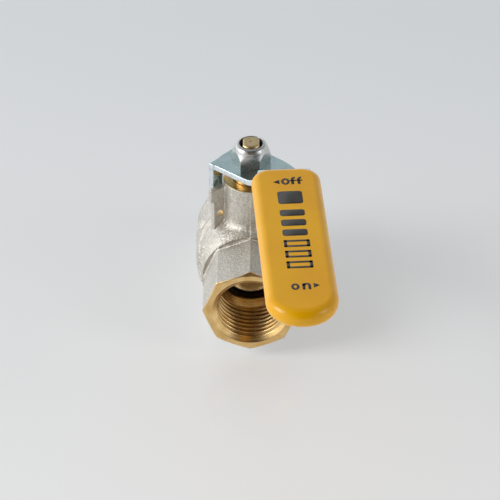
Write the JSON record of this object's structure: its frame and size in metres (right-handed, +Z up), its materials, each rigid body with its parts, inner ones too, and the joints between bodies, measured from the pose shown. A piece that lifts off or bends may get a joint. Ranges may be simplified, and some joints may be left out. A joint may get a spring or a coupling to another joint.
{
  "type": "ball valve",
  "caption": "Quarter-turn ball valve for gas pipe: nickel-plated brass body with female pipe threads at both ends, and a cranked steel lever in a yellow grip.",
  "frame": {"origin": "the ball's centre, where the pipe axis meets the stem axis", "axes": "+Y along the pipe axis towards the screwed-in end connector, +Z up the stem towards the lever, +X to the right seen from the body's own threaded end"},
  "size_m": [0.0396, 0.1172, 0.0622],
  "materials": {
    "nickel_plated_brass": "fine blasted nickel plating",
    "nickel_plated_brass_connector": "fine blasted nickel plating",
    "joint_rubber": "matte",
    "chromed_ball": "polished",
    "inlet_seat_ptfe": "smooth",
    "outlet_seat_ptfe": "smooth",
    "turned_brass": "turned",
    "washer_ptfe": "smooth",
    "stem_rubber_lower": "matte",
    "stem_rubber_upper": "matte",
    "zinc_plated_steel": "blue zinc plating",
    "yellow_vinyl": "glossy",
    "nut_steel": "bright zinc plating",
    "nut_nylon": "smooth"
  },
  "bodies": {
    "valve_body": {"body": "nickel_plated_brass", "end_connector": "nickel_plated_brass_connector", "body_joint_seal": "joint_rubber", "inlet_seat": "inlet_seat_ptfe", "outlet_seat": "outlet_seat_ptfe"},
    "handle": {"stem": "turned_brass", "stem_thrust_washer": "washer_ptfe", "stem_oring_lower": "stem_rubber_lower", "stem_oring_upper": "stem_rubber_upper", "lever": "zinc_plated_steel", "lever_grip": "yellow_vinyl", "handle_nut": "nut_steel", "nut_insert": "nut_nylon"},
    "ball": {"ball": "chromed_ball"}
  },
  "joints": [
    {"name": "handle_turn", "type": "hinge", "parent": "valve_body", "child": "handle", "pos_m": [0, 0, 0.0277], "axis": [0, 0, 1], "range_deg": [-90, 0]},
    {"name": "ball_turn", "type": "hinge", "parent": "valve_body", "child": "ball", "pos_m": [0, 0, 0], "axis": [0, 0, 1], "range_deg": [-90, 0]}
  ],
  "couplings": [
    {"joint": "ball_turn", "follows": "handle_turn", "ratio": 1}
  ]
}
